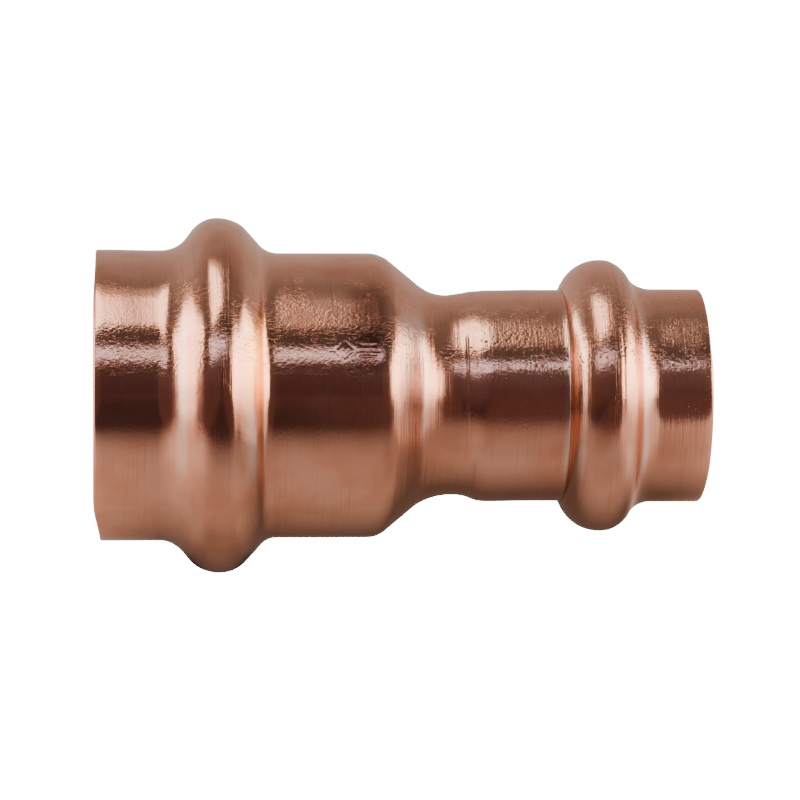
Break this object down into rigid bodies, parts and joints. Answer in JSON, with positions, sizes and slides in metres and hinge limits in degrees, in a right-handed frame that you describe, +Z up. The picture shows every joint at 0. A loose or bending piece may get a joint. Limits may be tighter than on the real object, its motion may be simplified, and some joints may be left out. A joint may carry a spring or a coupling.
{
  "type": "concentric press reducer",
  "caption": "Copper press-connect reducing coupling: a beaded socket at each end holds an O-ring, with a cone and a neck between the larger and the smaller cup.",
  "frame": {"origin": "centre of the large socket's mouth, on the common axis", "axes": "+X along the common axis from the large mouth to the small mouth, +Z up, +Y away from a viewer who sees the large end on the left"},
  "size_m": [0.0531, 0.031, 0.031],
  "materials": {
    "copper": "drawn bare copper, satin, lightly scratched and tarnished",
    "seal_rubber": "moulded EPDM, satin black"
  },
  "bodies": {
    "root": {"fitting_body": "copper", "large_o_ring": "seal_rubber", "small_o_ring": "seal_rubber"}
  },
  "joints": []
}
